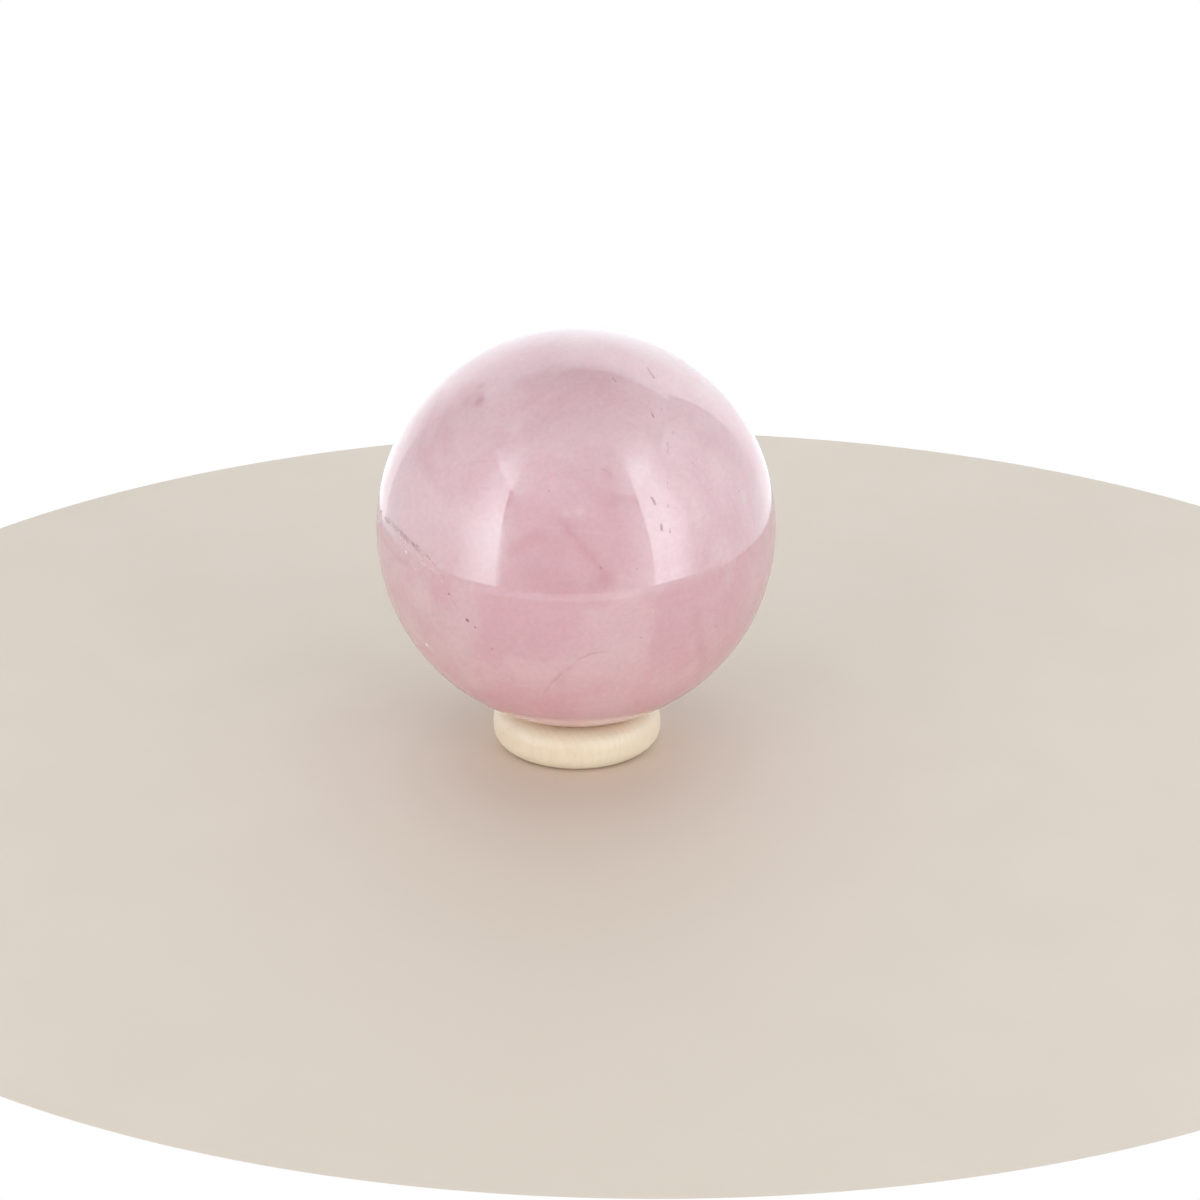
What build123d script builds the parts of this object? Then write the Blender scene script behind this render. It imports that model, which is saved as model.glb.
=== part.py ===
"""Polished rose quartz sphere, resting on the small turned wooden ring that keeps it from rolling.

Millimetres, +Z up. The origin is the centre of the ring's underside, on the surface that it stands on.
Sphere and ring are bodies of revolution about the same vertical axis, and nothing fastens them.
"""

import os
from math import sqrt

from build123d import *

# The sphere
sphere_diameter = 60.0

# The ring: turned, with a nearly round section that keeps a narrow flat above and below
ring_outer_diameter = 25.8
ring_bore_diameter = 13.0
ring_height = 6.4
ring_wall_crown = 0.25  # how far the outer wall swells beyond its two ends, on the radius
ring_edge_radius = 2.7  # rounding of the two outer edges
ring_lip_radius = 2.7  # rounding of the two bore edges; the sphere rests on the upper one

# Left between the sphere and the lip, so that the two solids meet without sharing material
seat_clearance = 0.02

sphere_radius = sphere_diameter / 2
ring_outer_radius = ring_outer_diameter / 2
ring_bore_radius = ring_bore_diameter / 2
ring_end_radius = ring_outer_radius - ring_wall_crown

# The roundings on one wall or face never meet, whatever size the ring has
widest_rounding = 0.45 * min(ring_height, ring_end_radius - ring_bore_radius)
edge_radius = min(ring_edge_radius, widest_rounding)
lip_radius = min(ring_lip_radius, widest_rounding)

# The sphere touches the lip where the line from its centre passes through the centre of the lip's
# quarter circle, so the two centres lie one sphere radius and one lip radius apart.
lip_centre_radius = ring_bore_radius + lip_radius
lip_centre_height = ring_height - lip_radius
centre_distance = sphere_radius + seat_clearance + lip_radius
sphere_centre_height = lip_centre_height + sqrt(centre_distance**2 - lip_centre_radius**2)

# Wooden ring
with BuildPart() as wooden_ring:
    with BuildSketch(Plane.XZ) as ring_section:
        with BuildLine():
            underside = Line((ring_bore_radius, 0), (ring_end_radius, 0))
            outer_wall = ThreePointArc(
                underside @ 1,
                (ring_outer_radius, ring_height / 2),
                (ring_end_radius, ring_height),
            )
            top_face = Line(outer_wall @ 1, (ring_bore_radius, ring_height))
            Line(top_face @ 1, underside @ 0)
        make_face()
        fillet(ring_section.vertices().group_by(Axis.X)[0], lip_radius)
        fillet(ring_section.vertices().group_by(Axis.X)[-1], edge_radius)
    revolve(axis=Axis.Z)
wooden_ring.part.label = "wooden_ring"

# Quartz sphere
with BuildPart() as quartz_sphere:
    with Locations((0, 0, sphere_centre_height)):
        Sphere(sphere_radius)
quartz_sphere.part.label = "quartz_sphere"

os.makedirs("parts", exist_ok=True)
export_step(wooden_ring.part, "parts/wooden_ring.step")
export_step(quartz_sphere.part, "parts/quartz_sphere.step")
print(f"sphere centre {sphere_centre_height:.3f} mm above the surface")
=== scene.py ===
"""Rose quartz sphere on its turned wooden ring: surface, materials, stage, light and camera.

Metres, +Z up. The camera looks along +Y and down, so -Y is the front.
"""

from collections import namedtuple
from math import cos, radians, sin, sqrt
from random import Random

import bmesh
import bpy
import numpy as np
from mathutils import Matrix, Vector, noise


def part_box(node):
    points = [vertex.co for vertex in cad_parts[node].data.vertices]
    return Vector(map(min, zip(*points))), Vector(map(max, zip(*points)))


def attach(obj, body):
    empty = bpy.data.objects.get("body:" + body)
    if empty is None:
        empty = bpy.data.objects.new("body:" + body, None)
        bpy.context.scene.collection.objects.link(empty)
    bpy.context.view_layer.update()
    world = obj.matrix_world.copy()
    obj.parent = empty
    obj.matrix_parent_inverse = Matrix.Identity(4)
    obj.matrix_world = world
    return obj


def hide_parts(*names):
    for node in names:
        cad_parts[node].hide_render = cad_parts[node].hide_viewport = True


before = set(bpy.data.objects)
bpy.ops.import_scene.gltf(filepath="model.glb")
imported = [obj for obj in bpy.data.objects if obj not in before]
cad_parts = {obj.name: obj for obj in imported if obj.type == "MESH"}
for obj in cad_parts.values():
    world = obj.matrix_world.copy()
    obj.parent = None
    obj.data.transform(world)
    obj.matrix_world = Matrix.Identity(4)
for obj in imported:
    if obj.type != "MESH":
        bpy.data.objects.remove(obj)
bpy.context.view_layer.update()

# The sphere as the frame holds it
sphere_low, sphere_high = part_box("quartz_sphere")
SPHERE_RADIUS = (sphere_high.z - sphere_low.z) / 2
SPHERE_CENTRE = Vector((0, 0, (sphere_high.z + sphere_low.z) / 2))

# The photograph: a square frame, with the sphere's outline in it
FRAME_PIXELS = 1200
FOCAL_PIXELS = 2800
SENSOR_MM = 36
CAMERA_ELEVATION = radians(22.9)
SPHERE_PIXEL = (576.3, 527.2)
SPHERE_PIXEL_RADIUS = 200.1

LOOK = Vector((0, cos(CAMERA_ELEVATION), -sin(CAMERA_ELEVATION)))
UP = Vector((0, sin(CAMERA_ELEVATION), cos(CAMERA_ELEVATION)))
RIGHT = Vector((1, 0, 0))


def view_ray(pixel):
    """Direction from the camera through a pixel of the photograph."""
    across = (pixel[0] - FRAME_PIXELS / 2) / FOCAL_PIXELS
    above = (FRAME_PIXELS / 2 - pixel[1]) / FOCAL_PIXELS
    return (LOOK + across * RIGHT + above * UP).normalized()


CAMERA_DISTANCE = SPHERE_RADIUS * sqrt((FOCAL_PIXELS / SPHERE_PIXEL_RADIUS) ** 2 + 1)
CAMERA_PLACE = SPHERE_CENTRE - CAMERA_DISTANCE * view_ray(SPHERE_PIXEL)


def add_camera():
    data = bpy.data.cameras.new("camera")
    data.sensor_width = SENSOR_MM
    data.lens = FOCAL_PIXELS * SENSOR_MM / FRAME_PIXELS
    data.clip_start = 0.01
    data.clip_end = 20
    camera = bpy.data.objects.new("camera", data)
    camera.location = CAMERA_PLACE
    camera.rotation_euler = LOOK.to_track_quat("-Z", "Y").to_euler()
    bpy.context.scene.collection.objects.link(camera)
    bpy.context.scene.camera = camera


# Helpers for materials and objects


def new_material(name):
    """A material with no nodes yet, and a function that adds one to it."""
    material = bpy.data.materials.new(name)
    material.use_nodes = True
    tree = material.node_tree
    tree.nodes.clear()

    def add(kind, inputs=None, **settings):
        """A node, with each input joined to another node's output or set to a plain value."""
        node = tree.nodes.new("ShaderNode" + kind)
        for key, value in settings.items():
            setattr(node, key, value)
        for key, value in (inputs or {}).items():
            if isinstance(value, bpy.types.NodeSocket):
                tree.links.new(value, node.inputs[key])
            else:
                node.inputs[key].default_value = value
        return node

    return material, add


def blend(add, share, low, high, way="MIX"):
    """Colour low where share is 0 and high where it is 1."""
    node = add("Mix", {0: share, 6: low, 7: high}, data_type="RGBA", blend_type=way)
    return node.outputs[2]


def ramp(add, value, start, end, low=0.0, high=1.0):
    """Value brought from the range start..end to low..high, with soft ends."""
    inputs = {"Value": value, "From Min": start, "From Max": end, "To Min": low, "To Max": high}
    return add("MapRange", inputs, interpolation_type="SMOOTHSTEP").outputs[0]


def calculate(add, operation, first, second=0.0):
    return add("Math", {0: first, 1: second}, operation=operation).outputs[0]


def multiply(add, first, second):
    return calculate(add, "MULTIPLY", first, second)


def total(add, first, *others):
    for other in others:
        first = calculate(add, "ADD", first, other)
    return first


def mottle(add, place, scale, detail=3.0, roughness=0.5, distortion=0.0):
    """Noise from 0 to 1 whose spots are 1 / scale metres wide."""
    inputs = {"Vector": place, "Scale": scale, "Detail": detail, "Roughness": roughness, "Distortion": distortion}
    return add("TexNoise", inputs).outputs["Fac"]


def shaded(add, colour, shade):
    """The colour made lighter or darker, as far as shade is above or below 1."""
    grey = add("CombineColor", {"Red": shade, "Green": shade, "Blue": shade}).outputs[0]
    return blend(add, 1.0, colour, grey, "MULTIPLY")


def end_material(add, inputs):
    shader = add("BsdfPrincipled", inputs)
    add("OutputMaterial", {"Surface": shader.outputs["BSDF"]})


def new_object(name, mesh):
    made = bpy.data.objects.new(name, mesh)
    bpy.context.scene.collection.objects.link(made)
    return made


# Marks in the stone
#
# A mark is a row of points on the sphere, as directions from its centre, with a weight at each and
# a half width. It adds to one channel of the surface: how deep it is sunk, how stained, and so on.

MM = 0.001
POINT_STEP = 0.1 * MM
SLOW_SWAY, QUICK_SWAY = 0.9, 2.7  # how often a line sways in a millimetre
GAPS_PER_MM = 0.7
GAP_DEPTH = 2.2
GAP_PLACE = Vector((7, 3, 1))  # keeps the gaps from following the swaying
TAPER = 6  # each end fades over this part of the line: a sixth
Mark = namedtuple("Mark", "channel points weights width")


def on_sphere(pixel):
    """Direction from the sphere's centre to the point that a pixel of the photograph shows."""
    ray = view_ray(pixel)
    offset = CAMERA_PLACE + (SPHERE_CENTRE - CAMERA_PLACE).dot(ray) * ray - SPHERE_CENTRE
    if offset.length >= SPHERE_RADIUS:
        return offset.normalized()
    return (offset - sqrt(SPHERE_RADIUS**2 - offset.length_squared) * ray).normalized()


def at(azimuth, elevation):
    """Direction from the sphere's centre, in degrees: azimuth 0 is the front, and 90 the right side."""
    turn, rise = radians(azimuth), radians(elevation)
    return Vector((sin(turn) * cos(rise), -cos(turn) * cos(rise), sin(rise)))


def traced(corners, wander=0.15 * MM):
    """Closely spaced directions from corner to corner, wandering a little to both sides."""
    points = []
    for first, last in zip(corners, corners[1:]):
        steps = max(1, round((last - first).length * SPHERE_RADIUS / POINT_STEP))
        across = first.cross(last).normalized()
        for step in range(steps):
            point = first.lerp(last, step / steps).normalized()
            place = point * SPHERE_RADIUS / MM
            sway = noise.noise(place * SLOW_SWAY) + 0.5 * noise.noise(place * QUICK_SWAY)
            points.append((point + across * sway * wander / SPHERE_RADIUS).normalized())
    points.append(corners[-1].normalized())
    return points


def tapered(points, broken=0.0):
    """Weights that fade towards both ends, and come and go along the line as far as it is broken."""
    last = max(1, len(points) - 1)
    weights = []
    for step, point in enumerate(points):
        fade = min(1.0, TAPER * step / last, TAPER * (last - step) / last)
        gap = max(0.0, noise.noise(point * SPHERE_RADIUS / MM * GAPS_PER_MM + GAP_PLACE) * GAP_DEPTH)
        weights.append(fade * (1 - broken * min(1.0, gap)))
    return weights


def line(corners, width, amounts, broken=0.3, wander=0.15 * MM):
    """Marks along a line, one for each channel in amounts."""
    points = traced(corners, wander)
    weights = tapered(points, broken)
    return [
        Mark(channel, points, [amount * weight for weight in weights], width)
        for channel, amount in amounts.items()
    ]


def spot(centre, width, amounts):
    return [Mark(channel, [centre], [amount], width) for channel, amount in amounts.items()]


def seen(pixels):
    return [on_sphere(pixel) for pixel in pixels]


def placed(angles):
    return [at(*pair) for pair in angles]


# Places in the photograph's pixels, half widths in millimetres, and amounts from 0 to 1

# The long fracture on the left, from the outline down to the front, with its pits
UPPER_FRACTURE = ((391, 521), (402, 534), (413.5, 545), (426, 554), (430, 559.6), (437, 568.7), (443, 580.6))
LOWER_FRACTURE = ((443, 580.6), (448.5, 594), (457, 609), (466.8, 620.6), (475, 627.6))
FRACTURE_TAIL = ((475, 627.6), (492, 648.7), (506.7, 669.7))
FRACTURE_DARK_PARTS = (
    (((404, 537), (409, 542), (415, 546.5)), 0.34),
    (((424.5, 553.5), (427, 556), (431, 560.5)), 0.85),
    (((438, 570), (441, 575), (443, 579)), 0.42),
    (((451, 598), (454, 604), (458, 610)), 0.36),
    (((447.4, 593), (448.6, 595.5)), 0.36),
)
FRACTURE_BROWN_BAND = ((382, 515), (391, 523), (402, 533.5), (411, 542.5), (420, 551), (429, 559.5))
WEATHERED_BAND = ((394, 529), (404, 543), (414, 552), (424, 561), (433, 571), (440, 581))
WEATHERED_EDGE = ((396, 536), (406, 552), (417, 567), (428, 577))
PALE_CHIPS = (
    ((405, 550), (407, 553), (408.5, 555)), ((414, 568), (416.5, 570)), ((429.5, 565.5), (432, 570)),
    ((435.5, 571), (438, 574)), ((441, 580), (443.5, 584)), ((410, 559), (412, 563)), ((422, 563), (425, 566)),
)
MAIN_PITS = (((448.8, 594.5), 0.28), ((466.8, 620.6), 0.54), ((475, 627.6), 0.26), ((492, 648.7), 0.18))
EDGE_CHIPS = (((380.5, 516), 1.1), ((378.5, 521), 0.8))

# Short open dashes on the right, and their pits
FAINT_DASHES = (
    ((640, 359), (643, 363)), ((618.8, 386), (625.5, 390)),
    ((630, 394), (638, 400), (645, 406)), ((667.4, 440), (667.8, 454.6)),
    ((697, 379.5), (700.6, 382.8)), ((673, 430), (674, 436)), ((660, 407), (662, 411)),
    ((682.5, 449), (688, 457), (694.6, 465.3)), ((503, 672), (506, 676)), ((490, 646.5), (492, 651)),
    ((667.8, 480), (668.2, 491)), ((667.5, 503), (668, 508)), ((669.5, 528.5), (669.9, 534)),
)
DARK_DASHES = (
    ((645.5, 366), (650, 372.5), (654.3, 379)), ((611.5, 376.5), (614, 380), (617, 383)),
    ((650, 411.5), (655, 418.5)), ((650.3, 496), (653, 500), (655.9, 505.8)), ((661.1, 523), (661.5, 531.5)),
)
RIGHT_PITS = (
    ((653.3, 377.5), 0.30), ((613.9, 379.5), 0.20), ((694.4, 465.6), 0.22), ((669.8, 532.3), 0.16),
    ((676, 508), 0.14), ((661, 527.5), 0.20), ((739.5, 491), 0.24), ((711, 489), 0.14), ((722, 505.5), 0.14),
    ((549.2, 491), 0.20), ((637, 569), 0.18), ((641, 637.7), 0.20), ((601, 568), 0.20),
)

# Hairlines that run through the stone just below the polish
HAIRLINES = (
    (((541, 696.7), (551, 684), (563, 672), (579.4, 658.3), (593, 652.8), (612.3, 651.4)), 0.62),
    (((425.8, 507.5), (438, 486), (456, 466), (483, 461), (513.6, 459.5)), 0.26),
    (((478, 488), (491, 490)), 0.40), (((458.7, 465.8), (463, 464)), 0.45),
    (((510, 678), (514, 680), (517.7, 684.3)), 0.60),
    (((530, 496.5), (546.5, 477), (568, 471.8), (598.6, 469)), 0.22),
    (((598.6, 469), (610, 474.7), (616.8, 484), (618.8, 490.8)), 0.75),
    (((680, 462), (697, 478), (712, 497), (722, 517)), 0.26), (((715, 617), (716.5, 622), (716, 629)), 0.45),
)

# Soft darker veils, deeper in the stone
DARK_VEILS = (
    ((505, 551), (530, 543), (546.5, 526.6)),
    ((600, 471), (612, 480), (619, 494)),
    ((692, 600), (697, 620), (700, 645), (704, 668)),
    ((470, 391), (479, 398), (488, 404)),
)
DARK_PATCHES = (
    ((479.5, 401), 1.5, 1.0), ((480, 386), 1.3, 0.6), ((612, 495), 2.6, 0.35), ((604, 578), 2.4, 0.55),
    ((598, 596), 3.4, 0.45), ((560, 590), 4.0, 0.30), ((470, 388), 3.0, 0.25), ((552, 548), 4.5, 0.30),
    ((540, 570), 5.0, 0.22),
)
DIAGONAL_VEIL = ((552, 510), (563, 524), (581, 545), (595, 560), (606, 577), (607, 590), (603, 602))

# Milky clouds and white specks
PALE_PATCHES = (
    ((516, 428), 1.8, 0.55), ((566, 514), 1.0, 0.55), ((580, 512), 1.0, 0.60), ((744, 496.5), 1.4, 0.45),
    ((630, 600), 3.0, 0.35), ((420, 600), 4.5, 0.50), ((440, 650), 5.0, 0.45), ((470, 680), 4.0, 0.40),
    ((655, 590), 1.8, 0.30), ((442, 617), 4.5, 0.40), ((414, 628), 4.0, 0.40), ((462, 668), 3.0, 0.45),
    ((455, 645), 4.0, 0.35), ((720, 465), 4.5, 0.45), ((645, 610), 3.0, 0.30),
)
CENTRE_OF_STREAK = (426.7, 644.5)
PALE_STREAK = ((406, 623), (417, 635), (427, 645), (438, 656))
WHITE_SPECKS = (
    ((425, 643.5), (427.5, 647)), ((406, 622), (408, 625)), ((491, 682), (494, 685.5)),
    ((653, 608), (653.6, 615)), ((606, 633.5), (609, 636.5)), ((431, 652), (434, 655)),
)

# The same kinds of marks round the sides, the back and the top, as azimuths and elevations
LEFT_SIDE_FRACTURE = ((-75.7, 9.5), (-86, 14), (-97, 14), (-108, 19), (-122, 17), (-131, 24), (-139, 23))
BACK_FRACTURE = ((148, 44), (155, 30), (166, 19), (171, 6), (183, -5), (188, -19), (197, -28))
TOP_FRACTURE = ((124, 46), (138, 54), (158, 56), (176, 50), (190, 54))
LOW_FRACTURE = ((75, -33), (87, -27), (102, -30), (119, -41))
FAR_HAIRLINES = (
    ((116, 38), (122, 26), (128, 10), (123, -4)),
    ((-150, -12), (-128, -20), (-109, -17), (-97, -26)),
    ((-120, 44), (-143, 52), (-165, 47)),
    ((205, 42), (216, 26), (219, 9)),
    ((136, -14), (152, -26), (171, -30)),
)
FAR_VEILS = (
    ((99, 12), (110, 4), (126, 7), (139, -4)),
    ((-118, 40), (-122, 31), (-126, 12)),
    ((168, 58), (190, 49), (214, 50)),
    ((150, -38), (172, -47), (203, -42)),
    ((-98, -8), (-112, -20), (-131, -31)),
)
WEATHERED_OFFSET = 0.9 * MM  # from a fracture to the middle of its weathered band


def fracture(corners, weathered_side):
    """An open fracture with a weathered band along one side of it."""
    aside = weathered_side * WEATHERED_OFFSET / SPHERE_RADIUS
    band = [(corner + aside).normalized() for corner in corners[1:-2]]
    marks = line(corners, 0.24 * MM, {"depth": 0.07 * MM, "stain": 0.45}, broken=0.7)
    marks += line(band, 1.5 * MM, {"frost": 0.75}, broken=0.8, wander=0.5 * MM)
    return marks


def front_marks():
    """Everything that the photograph shows."""
    marks = line(seen(UPPER_FRACTURE), 0.30 * MM, {"depth": 0.02 * MM, "stain": 0.22}, broken=0.8)
    marks += line(seen(LOWER_FRACTURE), 0.26 * MM, {"depth": 0.02 * MM, "stain": 0.20}, broken=0.9)
    marks += line(seen(FRACTURE_TAIL), 0.22 * MM, {"depth": 0.02 * MM, "stain": 0.20}, broken=0.9)
    for corners, amount in FRACTURE_DARK_PARTS:
        marks += line(seen(corners), 0.28 * MM, {"stain": amount}, broken=0.3)
    marks += line(seen(FRACTURE_BROWN_BAND), 0.9 * MM, {"stain": 0.55}, broken=0.2, wander=0.2 * MM)
    marks += line(seen(WEATHERED_BAND), 1.5 * MM, {"frost": 0.55}, broken=0.3, wander=0.3 * MM)
    marks += line(seen(WEATHERED_EDGE), 1.4 * MM, {"frost": 0.35}, broken=0.7, wander=0.4 * MM)
    for corners in PALE_CHIPS:
        marks += line(seen(corners), 0.34 * MM, {"speck": 0.60, "depth": 0.01 * MM}, broken=0.3)
    for pixel, width in MAIN_PITS:
        marks += spot(on_sphere(pixel), width * MM, {"depth": 0.14 * MM, "stain": 1.0})
    for pixel, width in EDGE_CHIPS:
        marks += spot(on_sphere(pixel), width * MM, {"depth": 0.08 * MM, "frost": 0.9})
    for corners in FAINT_DASHES:
        marks += line(seen(corners), 0.18 * MM, {"depth": 0.04 * MM, "stain": 0.45}, broken=0.7)
    for corners in DARK_DASHES:
        marks += line(seen(corners), 0.20 * MM, {"depth": 0.06 * MM, "stain": 0.72}, broken=0.4)
    for pixel, width in RIGHT_PITS:
        marks += spot(on_sphere(pixel), width * MM, {"depth": 0.07 * MM, "stain": 0.7})
    for corners, amount in HAIRLINES:
        marks += line(seen(corners), 0.32 * MM, {"veil_and_shade": amount}, broken=0.9, wander=0.25 * MM)
    for corners in DARK_VEILS:
        marks += line(seen(corners), 1.5 * MM, {"veil_and_shade": 0.40}, broken=0.4, wander=0.5 * MM)
    # The wide band along the diagonal veil is painted shade beside it; the narrow line below is the veil itself
    marks += line(seen(DIAGONAL_VEIL), 1.8 * MM, {"veil_and_shade": 0.42}, broken=0.3, wander=0.4 * MM)
    marks += line(seen(DIAGONAL_VEIL), 0.50 * MM, {"veil_and_shade": 0.95}, broken=0.3, wander=0.2 * MM)
    for pixel, width, amount in DARK_PATCHES:
        marks += spot(on_sphere(pixel), width * MM, {"veil_and_shade": amount})
    for pixel, width, amount in PALE_PATCHES:
        marks += spot(on_sphere(pixel), width * MM, {"cloud": amount})
    marks += line(seen(PALE_STREAK), 0.9 * MM, {"cloud": 0.90}, broken=0.3)
    marks += spot(on_sphere(CENTRE_OF_STREAK), 0.65 * MM, {"speck": 0.75})
    for corners in WHITE_SPECKS:
        marks += line(seen(corners), 0.22 * MM, {"speck": 0.50}, broken=0.3)
    return marks


def far_marks():
    """Marks of the same kinds where the photograph doesn't look."""
    marks = fracture(placed(LEFT_SIDE_FRACTURE), Vector((0, 0, -1)))
    marks += fracture(placed(BACK_FRACTURE), Vector((1, 0, 0)))
    marks += fracture(placed(TOP_FRACTURE), Vector((0, -1, 0)))
    marks += fracture(placed(LOW_FRACTURE), Vector((0, 0, 1)))
    for corners in FAR_HAIRLINES:
        marks += line(placed(corners), 0.32 * MM, {"veil_and_shade": 0.50}, broken=0.8, wander=0.5 * MM)
    for corners in FAR_VEILS:
        marks += line(placed(corners), 1.8 * MM, {"veil_and_shade": 0.50}, broken=0.5, wander=0.9 * MM)
    return marks + scattered_marks()


SCATTER_SEED = 11
SCATTER_TRIES = 74
SCATTER_FRONT_LIMIT = 0.15  # marks that face the photograph's camera more than this are given in the lists above
DASH_SHARE, PIT_SHARE, SPECK_SHARE = 0.4, 0.3, 0.15  # the rest are small clouds
CLOUD_SIZE = 10  # a cloud's size beside a pit's


def scattered_marks():
    """Short dashes, pits and specks, thrown over the sides, the back and the underside."""
    chance = Random(SCATTER_SEED)
    marks = []
    for _ in range(SCATTER_TRIES):
        azimuth = chance.uniform(0, 360)
        elevation = chance.uniform(-50, 80)
        kind = chance.random()
        size = chance.uniform(0.14, 0.30) * MM
        lean = chance.uniform(-3, 3)
        length = chance.uniform(1.5, 5)
        centre = at(azimuth, elevation)
        if centre.dot(-LOOK) > SCATTER_FRONT_LIMIT:
            continue
        if kind < DASH_SHARE:
            ends = [at(azimuth, elevation), at(azimuth + lean, elevation - length)]
            marks += line(ends, 0.20 * MM, {"depth": 0.06 * MM, "stain": 0.65}, broken=0.6)
        elif kind < DASH_SHARE + PIT_SHARE:
            marks += spot(centre, size, {"depth": 0.07 * MM, "stain": 0.75})
        elif kind < DASH_SHARE + PIT_SHARE + SPECK_SHARE:
            ends = [at(azimuth, elevation), at(azimuth + lean * 0.3, elevation - 1.2)]
            marks += line(ends, 0.32 * MM, {"speck": 0.75}, broken=0.2)
        else:
            marks += spot(centre, size * CLOUD_SIZE, {"cloud": 0.5})
    return marks


# The sphere's surface

CHANNELS = ("depth", "stain", "frost", "speck", "veil_and_shade", "cloud")
FINE_CHANNELS = ("depth", "stain", "speck")
WIDEST_HAIRLINE = 0.5 * MM
SPHERE_SUBDIVISIONS = 7
HAIRLINE_REACHES = (0.60 * MM, 0.34 * MM)  # how far from a hairline the mesh is halved, and halved again
FINE_REACH = 0.25 * MM
WEATHERED_DEPTH = 0.022 * MM


def near(directions, mark, reach):
    """Which directions lie within reach of the mark, how far off they are, and the weight there."""
    points = np.array(mark.points)
    middle = points.mean(axis=0)
    middle /= np.linalg.norm(middle)
    span = np.arccos(np.clip((points @ middle).min(), -1, 1)) + reach / SPHERE_RADIUS
    inside = np.flatnonzero(directions @ middle > np.cos(span))
    cosines = directions[inside] @ points.T
    nearest = cosines.argmax(axis=1)
    closeness = np.clip(cosines[np.arange(len(inside)), nearest], -1, 1)
    gaps = SPHERE_RADIUS * np.sqrt(2 - 2 * closeness)
    hit = gaps < reach
    return inside[hit], gaps[hit], np.array(mark.weights)[nearest[hit]]


def unit_directions(build):
    directions = np.array([vertex.co[:] for vertex in build.verts])
    return directions / np.linalg.norm(directions, axis=1)[:, None]


def halve_edges(build, marks, reach):
    """Halve every edge that comes within reach of a mark, and bring the new points onto the sphere."""
    build.verts.index_update()
    directions = unit_directions(build)
    close = np.zeros(len(directions), bool)
    for mark in marks:
        close[near(directions, mark, reach)[0]] = True
    edges = [edge for edge in build.edges if close[edge.verts[0].index] or close[edge.verts[1].index]]
    bmesh.ops.subdivide_edges(build, edges=edges, cuts=1)
    bmesh.ops.triangulate(build, faces=[face for face in build.faces if len(face.verts) > 3])
    for vertex in build.verts:
        vertex.co = vertex.co.normalized() * SPHERE_RADIUS


def channel_values(directions, marks):
    """For each channel, its value at each direction. Where marks overlap, the strongest counts."""
    values = {channel: np.zeros(len(directions)) for channel in CHANNELS}
    for mark in marks:
        inside, gaps, weights = near(directions, mark, mark.width)
        reached = weights * (1 - (gaps / mark.width) ** 2) ** 2
        values[mark.channel][inside] = np.maximum(values[mark.channel][inside], reached)
    return values


def weathered_relief(directions, frost):
    """How far the weathered bands are eaten into the polish, unevenly."""
    relief = np.zeros(len(directions))
    for index in np.flatnonzero(frost > 0.02):
        place = Vector(directions[index]) * SPHERE_RADIUS / MM
        relief[index] = (0.5 + noise.fractal(place * 1.8, 0.6, 2.0, 3)) * WEATHERED_DEPTH
    return np.clip(relief, 0, None) * np.minimum(1, frost * 2)


def set_normals(mesh, directions, moved):
    """Away from the marks, the normals are the sphere's own, so that its mirror is smooth."""
    ends = np.empty(len(mesh.edges) * 2, int)
    mesh.edges.foreach_get("vertices", ends)
    ends = ends.reshape(-1, 2)
    touched = moved.copy()
    near_moved = ends[moved[ends].any(axis=1)]
    touched[near_moved.ravel()] = True
    normals = np.empty(len(mesh.vertices) * 3)
    mesh.vertex_normals.foreach_get("vector", normals)
    normals = np.where(touched[:, None], normals.reshape(-1, 3), directions)
    mesh.normals_split_custom_set_from_vertices(normals.tolist())


def add_sphere():
    marks = front_marks() + far_marks()
    fine_marks = [mark for mark in marks if mark.channel in FINE_CHANNELS]
    hairlines = [mark for mark in marks if mark.width < WIDEST_HAIRLINE]
    build = bmesh.new()
    bmesh.ops.create_icosphere(build, subdivisions=SPHERE_SUBDIVISIONS, radius=SPHERE_RADIUS)
    for reach in HAIRLINE_REACHES:
        halve_edges(build, hairlines, reach)
    halve_edges(build, fine_marks, FINE_REACH)
    directions = unit_directions(build)
    values = channel_values(directions, marks)
    depth = np.maximum(values.pop("depth"), weathered_relief(directions, values["frost"]))
    places = directions * (SPHERE_RADIUS - depth)[:, None] + np.array(SPHERE_CENTRE)
    mesh = bpy.data.meshes.new("polished_sphere")
    build.to_mesh(mesh)
    build.free()
    mesh.vertices.foreach_set("co", places.ravel())
    mesh.update()
    mesh.shade_smooth()
    set_normals(mesh, directions, depth > 0)
    for channel, numbers in values.items():
        mesh.attributes.new(channel, "FLOAT", "POINT").data.foreach_set("value", numbers)
    mesh.materials.append(quartz_material())
    sphere = new_object("polished_sphere", mesh)
    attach(sphere, "root")
    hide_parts("quartz_sphere")


# Quartz: colours as linear light, sizes as spots per metre
QUARTZ_DEEP = (0.541, 0.359, 0.396, 1)
QUARTZ_MILKY = (0.564, 0.415, 0.443, 1)
QUARTZ_VEIL_AND_SHADE = (0.485, 0.275, 0.310, 1)
QUARTZ_PAINTED_BOUNCE_TINT = (1.09, 0.970, 0.980, 1)  # painted warm bounce light: the underside made more salmon
QUARTZ_CLOUD = (0.590, 0.472, 0.482, 1)
QUARTZ_WISP = (0.660, 0.515, 0.535, 1)
QUARTZ_WEATHERED = (0.500, 0.365, 0.375, 1)
QUARTZ_CHIPPED = (0.760, 0.630, 0.655, 1)
QUARTZ_STAIN = (0.200, 0.100, 0.095, 1)
QUARTZ_IOR = 1.544
QUARTZ_SUBSURFACE = {
    "Subsurface Weight": 1.0,
    "Subsurface Radius": (1.0, 0.7, 0.72),
    "Subsurface Scale": 0.050,
}
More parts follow.
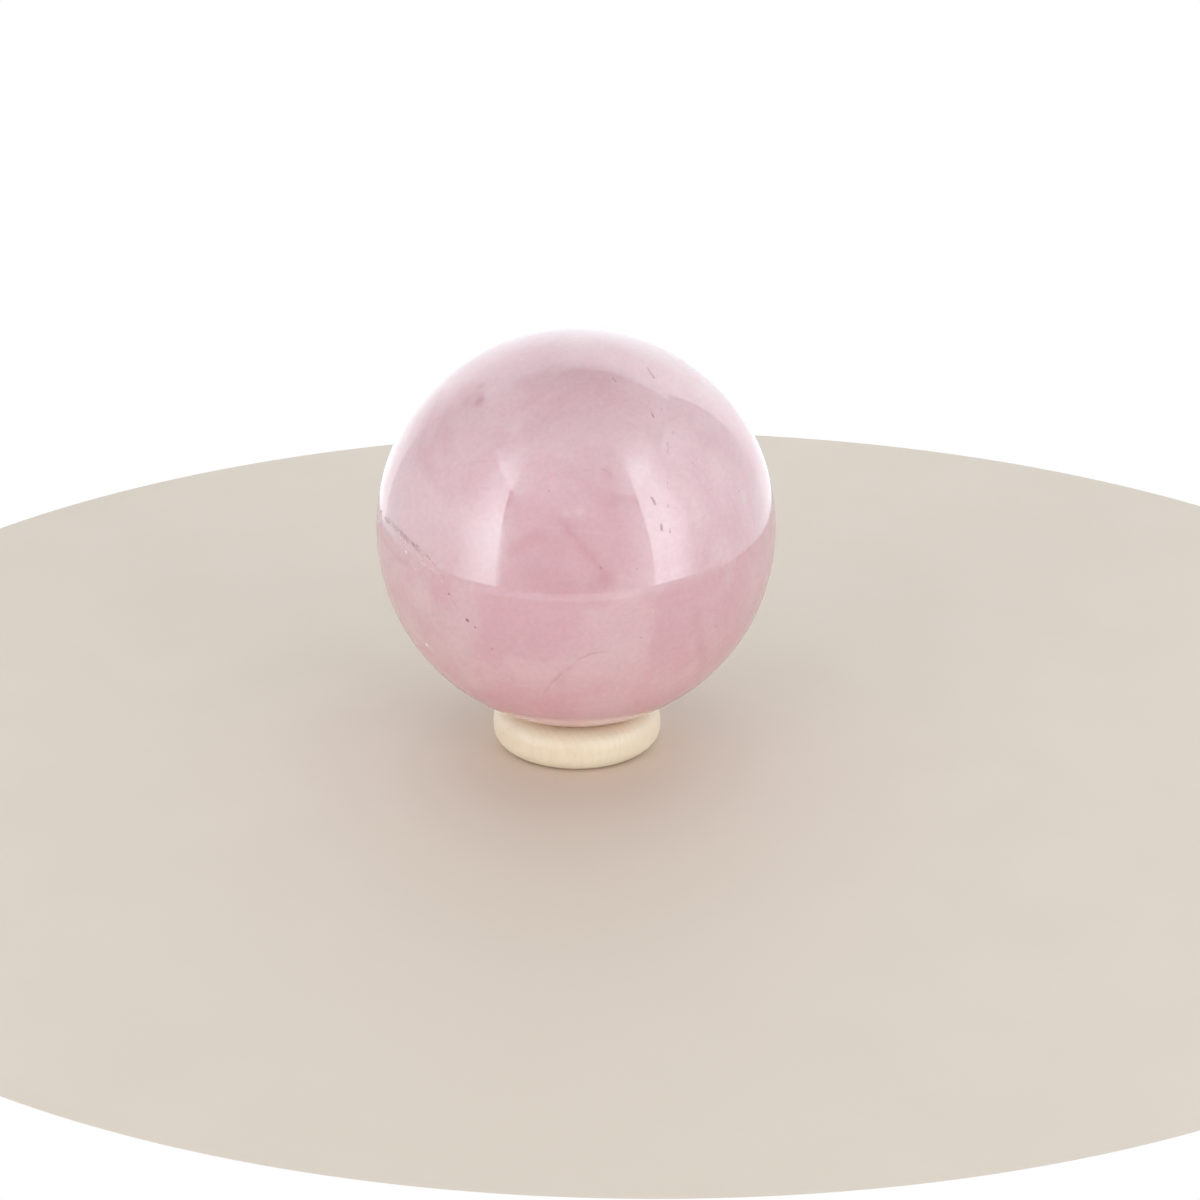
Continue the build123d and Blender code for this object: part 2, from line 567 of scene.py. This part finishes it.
POLISH_ROUGHNESS = 0.03
WORN_ROUGHNESS = 0.42  # added where the polish is gone
PAINTED_BOUNCE_HEIGHTS = (0.030, 0.013)  # from where down the painted bounce light starts, and where it is full
WAVE_HEIGHT = 0.0000004
PIT_HEIGHT = 0.00004


def sheets(add, place, scale, distortion, middle):
    """How far a noise is from its middle: 0 on sheets that run through the stone."""
    swirl = mottle(add, place, scale, 3, 0.5, distortion)
    return calculate(add, "ABSOLUTE", calculate(add, "SUBTRACT", swirl, middle))


def stone_colour(add, place):
    """The stone between its marks: pink in clouds of 5 to 20 mm, with healed fractures inside."""
    clouds = mottle(add, place, 62, detail=4, roughness=0.55, distortion=0.8)
    colour = blend(add, ramp(add, clouds, 0.36, 0.66), QUARTZ_DEEP, QUARTZ_MILKY)
    # Painted warm bounce light: the stone is tinted more salmon towards its underside, as light coming up from
    # below would make it
    height = add("SeparateXYZ", {0: place}).outputs["Z"]
    colour = blend(add, ramp(add, height, *PAINTED_BOUNCE_HEIGHTS), colour, QUARTZ_PAINTED_BOUNCE_TINT, "MULTIPLY")

    # The healed fractures are sheets, seen as broken wisps
    patches = ramp(add, mottle(add, place, 90, 3), 0.50, 0.66)
    wisps = ramp(add, sheets(add, place, 34, 0.9, 0.5), 0.030, 0.0, 0.0, 0.10)
    colour = blend(add, multiply(add, wisps, patches), colour, QUARTZ_WISP)
    patches = ramp(add, mottle(add, place, 71, 3), 0.52, 0.68)
    wisps = ramp(add, sheets(add, place, 47, 0.7, 0.47), 0.034, 0.0, 0.0, 0.28)
    return blend(add, multiply(add, wisps, patches), colour, QUARTZ_VEIL_AND_SHADE)


def marked_colour(add, place, colour):
    """The colour with the marks painted on it, with ragged edges, and how worn the polish is there."""
    painted = {channel: add("Attribute", attribute_name=channel).outputs["Fac"] for channel in CHANNELS[1:]}
    ragged = mottle(add, place, 2600, 3, 0.6)
    ragged_a_little = ramp(add, ragged, 0.2, 0.8, -0.3, 0.3)

    colour = blend(add, painted["cloud"], colour, QUARTZ_CLOUD)
    uneven = ramp(add, mottle(add, place, 700, 3), 0.25, 0.60, 0.55, 1.0)
    # Darker veils in the stone, and the painted shade along the diagonal veil
    colour = blend(add, multiply(add, painted["veil_and_shade"], uneven), colour, QUARTZ_VEIL_AND_SHADE)

    frost = ramp(add, total(add, painted["frost"], ramp(add, ragged, 0.2, 0.8, -0.45, 0.45)), 0.25, 0.80)
    flecks = ramp(add, mottle(add, place, 1500, 4, 0.65, 0.5), 0.42, 0.62)
    weathered = blend(add, flecks, QUARTZ_WEATHERED, QUARTZ_MILKY)
    colour = blend(add, multiply(add, frost, 0.50), colour, weathered)

    speck = ramp(add, total(add, painted["speck"], ragged_a_little), 0.3, 0.8)
    colour = blend(add, speck, colour, QUARTZ_CHIPPED)
    stain = ramp(add, total(add, painted["stain"], ragged_a_little), 0.15, 1.05)
    colour = blend(add, stain, colour, QUARTZ_STAIN)
    worn = calculate(add, "MAXIMUM", calculate(add, "MAXIMUM", frost, stain), speck)
    return colour, worn


def quartz_material():
    material, add = new_material("rose_quartz_polished")
    place = add("TexCoord").outputs["Object"]
    colour, worn = marked_colour(add, place, stone_colour(add, place))

    # Fine grain in the milk, 1 mm and smaller
    colour = shaded(add, colour, ramp(add, mottle(add, place, 1400, 4, 0.7), 0.25, 0.75, 0.96, 1.04))

    # Polish: nearly a mirror, dull and pitted where it is worn
    polish = ramp(add, mottle(add, place, 240, 3), 0.3, 0.7, POLISH_ROUGHNESS - 0.008, POLISH_ROUGHNESS + 0.012)
    roughness = total(add, polish, multiply(add, worn, WORN_ROUGHNESS))
    waves = mottle(add, place, 380, 2)
    smooth = add("Bump", {"Height": waves, "Distance": WAVE_HEIGHT}).outputs[0]
    pitted = multiply(add, mottle(add, place, 3200, 4, 0.65), worn)
    bumps = add("Bump", {"Height": pitted, "Distance": PIT_HEIGHT, "Normal": smooth}).outputs[0]

    surface = {"Base Color": colour, "Roughness": roughness, "Normal": bumps, "IOR": QUARTZ_IOR}
    end_material(add, {**surface, **QUARTZ_SUBSURFACE})
    return material


# Wood of the ring: pale maple, turned from a rod, so that its grain runs up and down
WOOD_EARLY = (0.925, 0.728, 0.556, 1)
WOOD_LATE = (0.870, 0.660, 0.478, 1)
WOOD_FIBRE = (0.820, 0.605, 0.425, 1)
WOOD_PORE = (0.420, 0.270, 0.165, 1)
# painted contact shadow and warm reflection along the lower edge
WOOD_PAINTED_CONTACT_SHADE = (0.560, 0.365, 0.215, 1)
WOOD_SUBSURFACE = {
    "Subsurface Weight": 1.0,
    "Subsurface Radius": (1.0, 0.85, 0.72),
    "Subsurface Scale": 0.010,
}
PITH_PLACE = (0.031, 0.019, 0)
RINGS_PER_METRE = 950
LATE_SHARE = 0.42  # how far the late wood's colour shows in each growth ring
FIBRE_SHARE = 0.26
PORE_SHARE = 0.20
# how strong the painted contact shadow is, how high it reaches, and how far its top edge wanders
PAINTED_SHADE_SHARE = 0.55
PAINTED_SHADE_HEIGHT = 0.0007
PAINTED_SHADE_WANDER = 0.0002
TURNING_MARKS = 21000  # radians of their wave in a metre of height
TURNING_DEPTH = 0.0000012
FIBRE_DEPTH = 0.000022


def stretched(add, place, *shares):
    return add("VectorMath", {0: place, 1: shares}, operation="MULTIPLY").outputs[0]


def growth_rings(add, place):
    """Early and late wood round the pith, which lies outside the turned ring."""
    from_pith = add("VectorMath", {0: place, 1: PITH_PLACE}, operation="SUBTRACT").outputs[0]
    radius = add("VectorMath", {0: stretched(add, from_pith, 1, 1, 0.02)}, operation="LENGTH").outputs["Value"]
    sway = ramp(add, mottle(add, place, 160, 3), 0.2, 0.8, -0.7, 0.7)
    within = calculate(add, "FRACT", total(add, multiply(add, radius, RINGS_PER_METRE), sway))
    late = multiply(add, ramp(add, within, 0.45, 0.95), ramp(add, within, 1.0, 0.96))
    return blend(add, multiply(add, late, LATE_SHARE), WOOD_EARLY, WOOD_LATE)


def wood_material():
    material, add = new_material("pale_hardwood_turned")
    place = add("TexCoord").outputs["Object"]
    height = add("SeparateXYZ", {0: place}).outputs["Z"]
    colour = growth_rings(add, place)

    # Fibres and pores: long along the grain, short across it
    along_fibres = stretched(add, place, 1, 1, 0.05)
    fibres = ramp(add, mottle(add, along_fibres, 3200, 4, 0.65), 0.35, 0.75, 0.0, FIBRE_SHARE)
    colour = blend(add, fibres, colour, WOOD_FIBRE)
    pores = ramp(add, mottle(add, stretched(add, place, 1, 1, 0.12), 6500, 2, 0.5), 0.66, 0.74)
    colour = blend(add, multiply(add, pores, PORE_SHARE), colour, WOOD_PORE)
    colour = shaded(add, colour, ramp(add, mottle(add, place, 210, 3), 0.3, 0.7, 0.965, 1.03))

    # The lower edge is painted a little darker and browner: painted contact shadow and a painted warm reflection
    # where the ring stands
    wander = ramp(add, mottle(add, place, 900, 3), 0.2, 0.8, -PAINTED_SHADE_WANDER, PAINTED_SHADE_WANDER)
    painted_shade = ramp(add, total(add, height, wander), PAINTED_SHADE_HEIGHT, 0.0001, 0.0, PAINTED_SHADE_SHARE)
    colour = blend(add, painted_shade, colour, WOOD_PAINTED_CONTACT_SHADE)

    # The tool's fine turning marks, and the fibres standing slightly proud
    tool_marks = calculate(add, "SINE", multiply(add, height, TURNING_MARKS))
    turned = add("Bump", {"Height": tool_marks, "Distance": TURNING_DEPTH}).outputs[0]
    raised = mottle(add, along_fibres, 4200, 4, 0.65)
    bumps = add("Bump", {"Height": raised, "Distance": FIBRE_DEPTH, "Normal": turned}).outputs[0]
    roughness = ramp(add, fibres, 0.0, FIBRE_SHARE, 0.44, 0.58)

    surface = {"Base Color": colour, "Roughness": roughness, "Normal": bumps}
    end_material(add, {**surface, **WOOD_SUBSURFACE})
    return material


def dress_ring():
    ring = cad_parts["wooden_ring"]
    ring.material_slots[0].material = wood_material()


# The stage: a pale top with an oval outline, a bright rim round it, and white beyond
FLOOR_HALF_WIDTH = 0.146
FLOOR_HALF_DEPTH = 0.132
FLOOR_CENTRE = Vector((0.010, 0.010, 0))
FLOOR_COLOUR = (0.68, 0.59, 0.50, 1)
RIM_HALF_WIDTH = 0.165
RIM_HALF_DEPTH = 0.155
RIM_CENTRE = Vector((0.012, -0.002, -0.0005))
RIM_GLOW = 1.75
OUTLINE_SEGMENTS = 256


def oval(half_width, half_depth, centre):
    """Turns a circle of radius 1 into an oval of this size at this place."""
    return Matrix.Translation(centre) @ Matrix.Diagonal((half_width, half_depth, 1, 1))


def add_floor():
    build = bmesh.new()
    bmesh.ops.create_circle(build, cap_ends=True, segments=OUTLINE_SEGMENTS, radius=1)
    mesh = bpy.data.meshes.new("floor")
    build.to_mesh(mesh)
    build.free()
    mesh.transform(oval(FLOOR_HALF_WIDTH, FLOOR_HALF_DEPTH, FLOOR_CENTRE))
    material, add = new_material("floor")
    place = add("TexCoord").outputs["Object"]
    grain = ramp(add, mottle(add, place, 60, 4), 0.3, 0.7, 0.68, 0.74)
    end_material(add, {"Base Color": FLOOR_COLOUR, "Roughness": grain})
    mesh.materials.append(material)
    new_object("floor", mesh)


# The even light of the white room. The camera, mirrors and clear things see it plain white.
WORLD_STRENGTH = 0.78


def add_world():
    world = bpy.data.worlds.new("world")
    bpy.context.scene.world = world
    world.use_nodes = True
    nodes, join = world.node_tree.nodes, world.node_tree.links.new
    nodes.clear()
    path = nodes.new("ShaderNodeLightPath")
    plain = path.outputs["Is Camera Ray"]
    for kind in ("Is Glossy Ray", "Is Transmission Ray"):
        either = nodes.new("ShaderNodeMath")
        either.operation = "MAXIMUM"
        join(plain, either.inputs[0])
        join(path.outputs[kind], either.inputs[1])
        plain = either.outputs[0]
    strength = nodes.new("ShaderNodeMapRange")
    strength.inputs["To Min"].default_value = WORLD_STRENGTH
    strength.inputs["To Max"].default_value = 1.0
    join(plain, strength.inputs["Value"])
    background = nodes.new("ShaderNodeBackground")
    background.inputs["Color"].default_value = (1, 1, 1, 1)
    join(strength.outputs[0], background.inputs["Strength"])
    out = nodes.new("ShaderNodeOutputWorld")
    join(background.outputs[0], out.inputs["Surface"])


# The light tent, as the polished stone mirrors it. Only reflections see it. It leans forward a little,
# and in its own frame X is to the right, Y to the back and Z up. A wall's places are depth and height.
TENT_HALF = 0.45
TENT_TOP = 0.538
TENT_BOTTOM = -0.20
TENT_FRONT = 0.475
TENT_LEAN = radians(5.6)
TENT_TURN = Matrix.Rotation(TENT_LEAN, 4, "X")
TENT_PLACE = Matrix.Translation(SPHERE_CENTRE) @ TENT_TURN @ Matrix.Translation(-SPHERE_CENTRE)
TENT_COLOUR = (0.80, 0.96, 1.0, 1)
BACK_COLOUR = (0.89, 0.965, 1.0, 1)
BOX_BOTTOM = -0.088
WALL_FOOT = ((-0.166, -0.067), (-0.048, -0.073), (0.125, -0.097), (0.300, -0.140))
BOX_EDGE = ((-0.475, 0.22), (-0.462, 0.28), (-0.440, 0.37), (-0.414, 0.48))  # the left box's inner edge
BOX_EDGE_TO_TOP = 0.02  # how much further back that edge reaches the ceiling
CEILING_EDGE = 0.375
CEILING_EDGE_BLUR = 0.012
VALANCE_BOTTOM = 0.22
CORNER_START = -0.392
CORNER_TOP = 0.33
STRIP_INNER = 0.17  # where the strip at the right box starts, and the low one ends
STRIP_GAP = 0.002  # how much nearer than the front plane the strips stand

# Brightness of the side walls. The lamps' box and the spill of light behind it each grow from the first
# depth to the second. Near the foot the box starts further forward, by the fall.
Place = namedtuple("Place", "x y z")
WallLight = namedtuple("WallLight", "plain spill spill_depths box box_depths fall")
LEFT_LIGHT = WallLight(1.3, 1.2, (0.30, -0.10), 3.6, (-0.08, -0.36), 0.05)
RIGHT_LIGHT = WallLight(1.85, 1.4, (0.24, 0.04), 4.0, (-0.10, -0.30), 0.03)
BACK_GLOW = 2.45
BACK_LOW_GLOW = 1.68
LEFT_BOX_GLOW = 4.0
RIGHT_BOX_GLOW = 5.4


def new_glow(name, colour=TENT_COLOUR):
    """Material of a card, its strength yet to come.

    Returns the function that adds nodes, the coordinates of a point on the card, and the function that
    ends the material with a strength.
    """
    material, add = new_material(name)
    split = add("SeparateXYZ", {0: add("TexCoord").outputs["Object"]}).outputs

    def shine(strength):
        glow = add("Emission", {"Color": colour, "Strength": strength})
        add("OutputMaterial", {"Surface": glow.outputs[0]})
        return material

    return add, Place(split["X"], split["Y"], split["Z"]), shine


def wall_glow(name, light):
    """A side wall: bright at its front edge, where the box of lamps stands, with a weaker spill behind."""
    add, place, shine = new_glow(name)
    spill = ramp(add, place.y, *light.spill_depths, 0.0, light.spill)
    spill = multiply(add, spill, ramp(add, place.z, 0.0, 0.15, 0.2, 1.0))
    depth = total(add, place.y, ramp(add, place.z, 0.04, 0.22, light.fall, 0.0))
    box = ramp(add, depth, *light.box_depths, 0.0, light.box)
    box = multiply(add, box, ramp(add, place.z, 0.80, 0.30))
    return shine(total(add, box, spill, light.plain))


def edge_glow(name):
    """The front plane beside the right box: brighter towards the wall, with a bright edge at the end."""
    add, place, shine = new_glow(name)
    slope = ramp(add, place.x, STRIP_INNER, TENT_HALF, 0.0, 2.4)
    slope = multiply(add, slope, ramp(add, place.z, 0.45, 0.25, 0.5, 1.0))
    edge = ramp(add, place.x, 0.425, 0.445, 0.0, 2.6)
    return shine(total(add, slope, edge, 1.0))


def corner_glow(name):
    """The front plane beside the left box: a dim strip, then the bright edge of the box."""
    add, place, shine = new_glow(name)
    outer = ramp(add, place.x, CORNER_START, -0.412, 0.0, 1.7)
    inner = ramp(add, place.x, -0.432, -0.446, 0.0, 2.6)
    strip = multiply(add, total(add, outer, inner), ramp(add, place.z, CORNER_TOP, 0.22))
    return shine(total(add, strip, 1.1))


def low_front_glow(name):
    """The front plane below the lamps: dark in the middle, and brighter upwards and to both sides."""
    add, place, shine = new_glow(name)
    aside = calculate(add, "ABSOLUTE", place.x)
    upwards = ramp(add, place.z, 0.0, 0.12, 0.25, 1.0)
    return shine(calculate(add, "MAXIMUM", upwards, ramp(add, aside, 0.12, 0.30, 0.25, 1.0)))


def back_glow(name):
    """The back wall: it fades towards its foot and its left side, and is brightest at its upper right."""
    add, place, shine = new_glow(name, BACK_COLOUR)
    low = ramp(add, place.z, -0.05, 0.22, BACK_LOW_GLOW - BACK_GLOW, 0.0)
    left = multiply(add, ramp(add, place.x, -0.18, -TENT_HALF, 0.0, -0.85), ramp(add, place.z, -0.02, 0.20))
    low_left = multiply(add, ramp(add, place.z, 0.08, -0.02), ramp(add, place.x, -0.05, -0.25, 0.0, 0.22))
    top = multiply(add, ramp(add, place.z, 0.25, 0.45), ramp(add, place.x, -0.05, 0.12, 0.0, 0.6))
    right = ramp(add, place.x, 0.15, 0.35, 0.0, 0.3)
    return shine(total(add, low, left, low_left, top, right, BACK_GLOW))


def ceiling_box(add, cut, cut_range, sideways, forwards):
    """A box of lamps as the ceiling shows it. A slanting line cuts it, and it is weak in front of the line."""
    return multiply(add, multiply(add, sideways, forwards), ramp(add, cut, *cut_range, 0.30, 1.0))


def ceiling_glow(name):
    """The ceiling: bright in front, over the boxes of lamps and behind its back edge, dark over the middle."""
    add, place, shine = new_glow(name)
    aside = calculate(add, "ABSOLUTE", place.x)
    middle = ramp(add, place.y, 0.0, -0.22, 0.98, 1.95)
    side = multiply(add, ramp(add, aside, 0.05, 0.30, 0.0, 0.8), ramp(add, place.y, -0.20, -0.08))
    right = multiply(add, ramp(add, place.x, 0.15, 0.30, 0.0, 0.3), ramp(add, place.y, 0.05, 0.15))
    tilt = multiply(add, ramp(add, place.x, -0.12, 0.08, 0.35, -0.45), ramp(add, place.y, -0.12, -0.20))
    left_box = ceiling_box(
        add, calculate(add, "SUBTRACT", place.y, multiply(add, place.x, 1.02)), (0.015, 0.065),
        ramp(add, place.x, -0.18, -TENT_HALF, 0.0, LEFT_BOX_GLOW), ramp(add, place.y, 0.0, -0.30),
    )
    right_box = ceiling_box(
        add, total(add, place.y, multiply(add, place.x, 1.2)), (0.04, 0.11),
        ramp(add, place.x, 0.12, 0.40, 0.0, RIGHT_BOX_GLOW), ramp(add, place.y, 0.0, -0.28),
    )
    edge = ramp(add, place.y, CEILING_EDGE - CEILING_EDGE_BLUR, CEILING_EDGE + CEILING_EDGE_BLUR)
    edge = multiply(add, edge, ramp(add, place.x, -0.30, 0.15, 0.65, 1.35))
    return shine(total(add, middle, side, right, tilt, left_box, right_box, edge))


def valance_glow(name):
    """The cloth that hangs from the ceiling's front edge: it fades downwards, and towards the right."""
    add, place, shine = new_glow(name)
    height = ramp(add, place.z, VALANCE_BOTTOM, TENT_TOP, 1.0, 2.0)
    right = multiply(add, ramp(add, place.x, 0.0, 0.12, 0.0, 0.7), ramp(add, place.z, 0.38, 0.48))
    return shine(calculate(add, "SUBTRACT", height, right))


def rim_glow(name):
    """The rim: hardly lit on the far left."""
    add, place, shine = new_glow(name)
    return shine(ramp(add, place.x, -0.135, -0.085, 0.4, RIM_GLOW))


def show_to_reflections_only(card):
    card.visible_camera = card.visible_diffuse = card.visible_shadow = False
    card.visible_transmission = card.visible_volume_scatter = False


def add_card(name, corners, material):
    mesh = bpy.data.meshes.new(name)
    mesh.from_pydata([Vector(corner) for corner in corners], [], [range(len(corners))])
    mesh.materials.append(material)
    card = new_object(name, mesh)
    card.matrix_world = TENT_PLACE
    show_to_reflections_only(card)


def add_wall(name, x, light, edge=()):
    """A side wall, cut off along the edge where one is given, and else going on to the front plane."""
    front_top = edge[-1][0] + BOX_EDGE_TO_TOP if edge else -TENT_FRONT
    places = [(-TENT_FRONT, BOX_BOTTOM), *WALL_FOOT, (TENT_HALF, TENT_BOTTOM)]
    places += [(TENT_HALF, TENT_TOP), (front_top, TENT_TOP), *reversed(edge)]
    add_card(name, [(x, depth, height) for depth, height in places], wall_glow(name, light))


def add_upright_card(name, left, right, bottom, top, glow, y=-TENT_FRONT):
    corners = [(left, y, bottom), (right, y, bottom), (right, y, top), (left, y, top)]
    add_card(name, corners, glow(name))


def add_level_card(name, height, glow):
    half, front = TENT_HALF, -TENT_FRONT
    corners = [(-half, front, height), (half, front, height), (half, half, height), (-half, half, height)]
    add_card(name, corners, glow(name))


def add_cards():
    half, nearer = TENT_HALF, -TENT_FRONT + STRIP_GAP
    add_wall("card_left", -half, LEFT_LIGHT, BOX_EDGE)
    add_wall("card_right", half, RIGHT_LIGHT)
    add_upright_card("edge_right", STRIP_INNER, half, BOX_BOTTOM, 0.45, edge_glow, nearer)
    add_upright_card("card_low", -0.30, STRIP_INNER, TENT_BOTTOM, 0.12, low_front_glow, nearer)
    add_upright_card("edge_left", -half, CORNER_START, BOX_BOTTOM, CORNER_TOP, corner_glow, nearer)
    add_upright_card("card_back", -half, half, TENT_BOTTOM, TENT_TOP, back_glow, half)
    add_level_card("card_top", TENT_TOP, ceiling_glow)
    add_upright_card("card_front", -half, half, VALANCE_BOTTOM, TENT_TOP, valance_glow)


def add_rim():
    """A thin bright band round the floor's edge, below its level."""
    build = bmesh.new()
    inner = bmesh.ops.create_circle(build, segments=OUTLINE_SEGMENTS, radius=1)["verts"]
    outer = bmesh.ops.create_circle(build, segments=OUTLINE_SEGMENTS, radius=1)["verts"]
    inner_place = oval(FLOOR_HALF_WIDTH, FLOOR_HALF_DEPTH, (FLOOR_CENTRE.x, FLOOR_CENTRE.y, RIM_CENTRE.z))
    bmesh.ops.transform(build, matrix=inner_place, verts=inner)
    outer_place = oval(RIM_HALF_WIDTH, RIM_HALF_DEPTH, RIM_CENTRE)
    bmesh.ops.transform(build, matrix=outer_place, verts=outer)
    bmesh.ops.bridge_loops(build, edges=build.edges[:])
    mesh = bpy.data.meshes.new("rim")
    build.to_mesh(mesh)
    build.free()
    mesh.materials.append(rim_glow("rim"))
    show_to_reflections_only(new_object("rim", mesh))


# Lamps low at both sides
LAMP_WATTS = 1.2
LAMP_SIZE = (0.3, 0.4)
LAMP_SIDE = 0.42
LAMP_FRONT = 0.42
LAMP_HEIGHT = 0.09


def add_lamp(name, place, size, watts):
    data = bpy.data.lights.new(name, "AREA")
    data.shape = "RECTANGLE"
    data.size, data.size_y = size
    data.energy = watts
    lamp = bpy.data.objects.new(name, data)
    lamp.location = place
    lamp.rotation_euler = (SPHERE_CENTRE - Vector(place)).to_track_quat("-Z", "Y").to_euler()
    lamp.visible_camera = lamp.visible_glossy = False
    bpy.context.scene.collection.objects.link(lamp)


def add_lamps():
    add_lamp("lamp_left", (-LAMP_SIDE, -LAMP_FRONT, LAMP_HEIGHT), LAMP_SIZE, LAMP_WATTS)
    add_lamp("lamp_right", (LAMP_SIDE, -LAMP_FRONT, LAMP_HEIGHT), LAMP_SIZE, LAMP_WATTS)


bpy.context.scene.view_settings.view_transform = "Standard"
add_camera()
add_sphere()
dress_ring()
add_floor()
add_rim()
add_world()
add_cards()
add_lamps()
